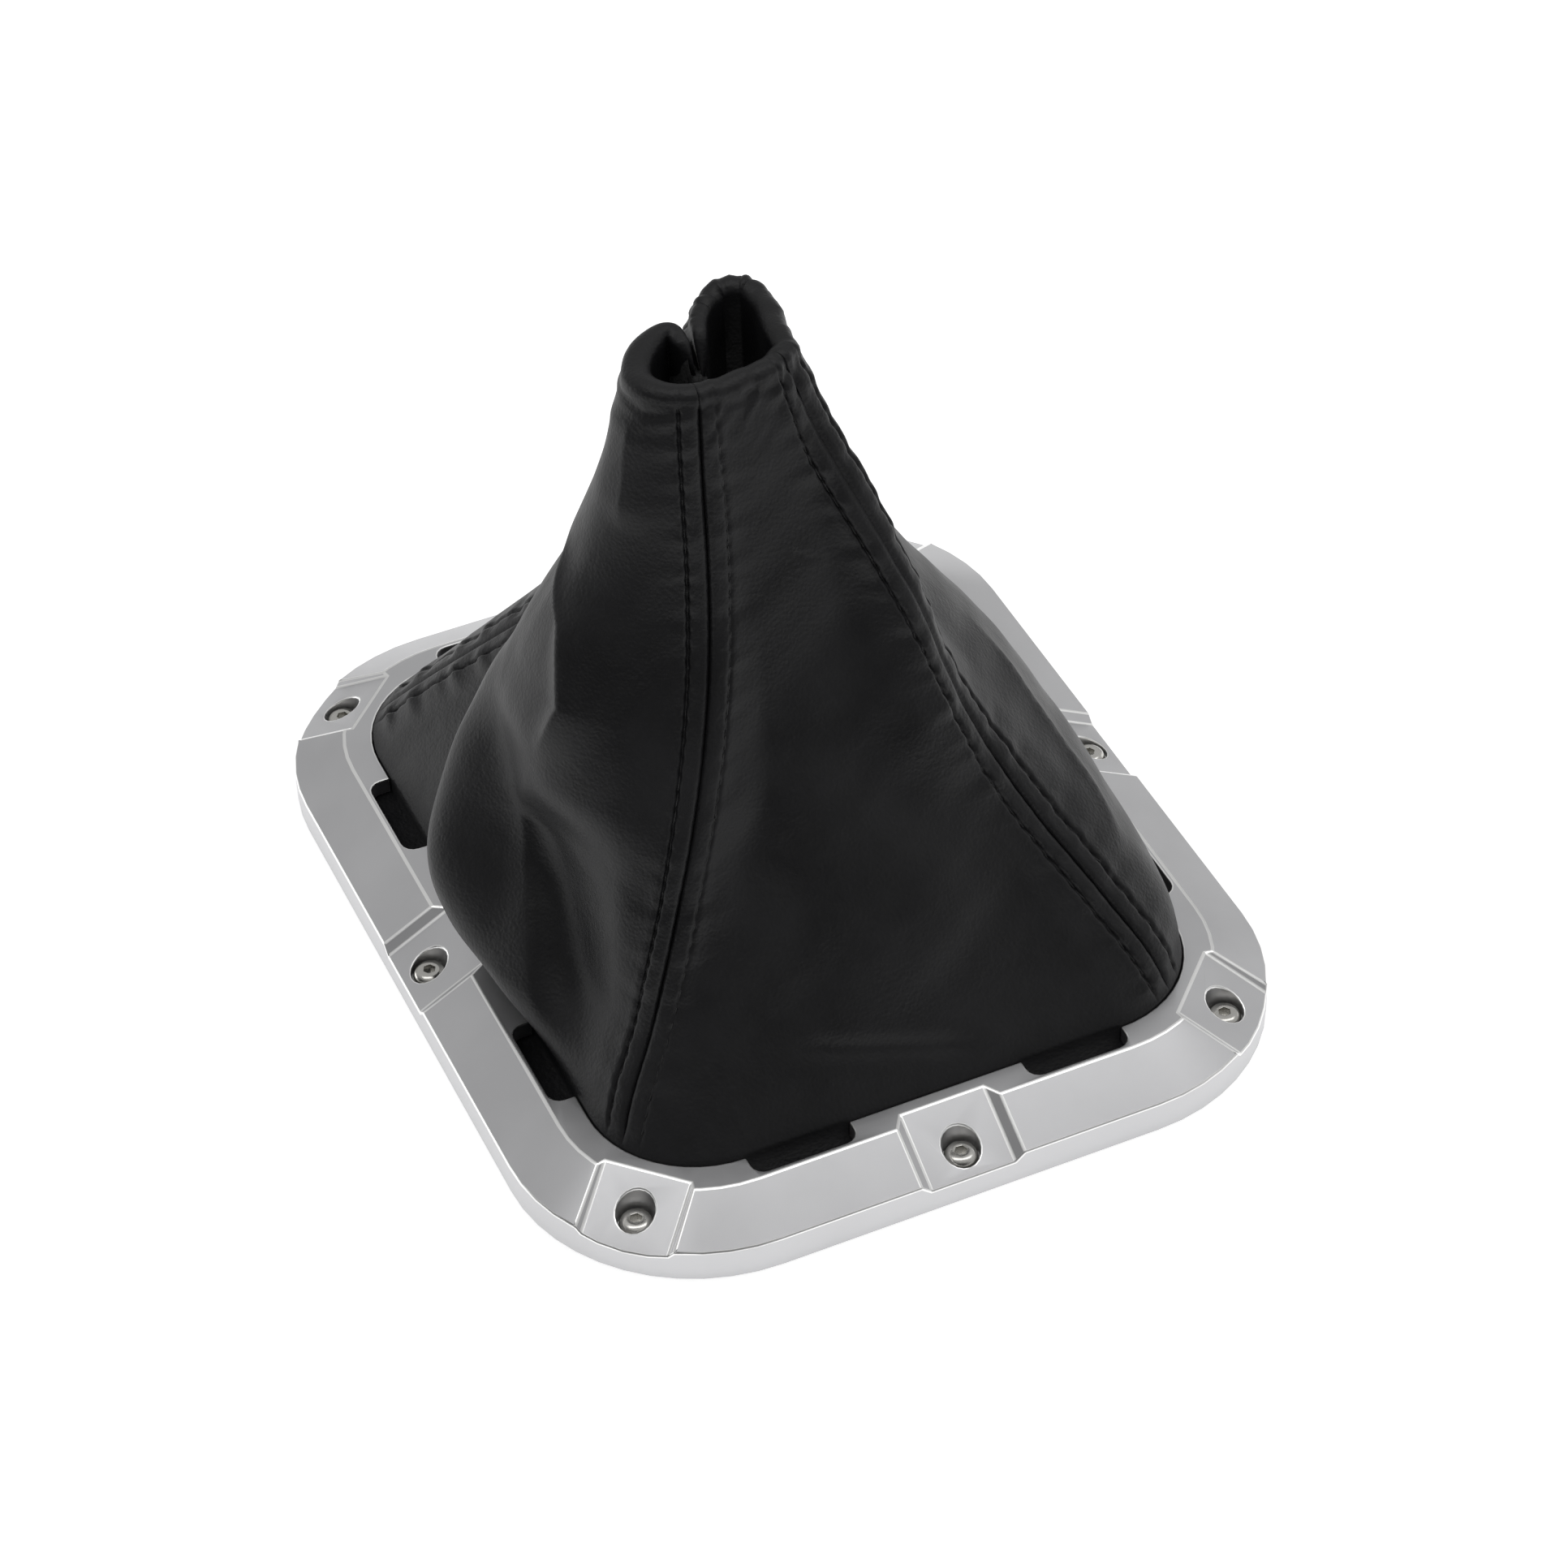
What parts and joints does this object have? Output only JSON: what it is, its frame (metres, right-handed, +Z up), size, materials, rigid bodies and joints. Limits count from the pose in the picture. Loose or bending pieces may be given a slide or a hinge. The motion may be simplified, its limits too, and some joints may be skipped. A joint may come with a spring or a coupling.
{
  "type": "gear shift bezel",
  "caption": "Machined trim ring with recessed screw flats and a notched inner ledge, holding a tapered leather boot with sewn corner seams and a pinched, hemmed mouth.",
  "frame": {"origin": "centre of the trim ring's flat underside, which is the surface it stands on", "axes": "+Z up through the boot's mouth, +Y along the longer side towards the rear, -Y towards the front, +X to the right"},
  "size_m": [0.1778, 0.216, 0.158],
  "materials": {
    "satin_aluminium": "satin, machined",
    "stainless_steel": "satin",
    "plated_steel": "zinc plated",
    "black_leather": "soft, low sheen"
  },
  "bodies": {
    "root": {"bezel": "satin_aluminium", "retaining_ring": "plated_steel", "screw_front": "stainless_steel", "screw_front_left": "stainless_steel", "screw_front_right": "stainless_steel", "screw_left": "stainless_steel", "screw_rear": "stainless_steel", "screw_rear_left": "stainless_steel", "screw_rear_right": "stainless_steel", "screw_right": "stainless_steel", "retainer_screw_front_1": "plated_steel", "retainer_screw_front_2": "plated_steel", "retainer_screw_left_1": "plated_steel", "retainer_screw_left_2": "plated_steel", "retainer_screw_rear_1": "plated_steel", "retainer_screw_rear_2": "plated_steel", "retainer_screw_right_1": "plated_steel", "retainer_screw_right_2": "plated_steel", "boot_panel_front": "black_leather", "boot_panel_right": "black_leather", "boot_panel_rear": "black_leather", "boot_panel_left": "black_leather"}
  },
  "joints": []
}
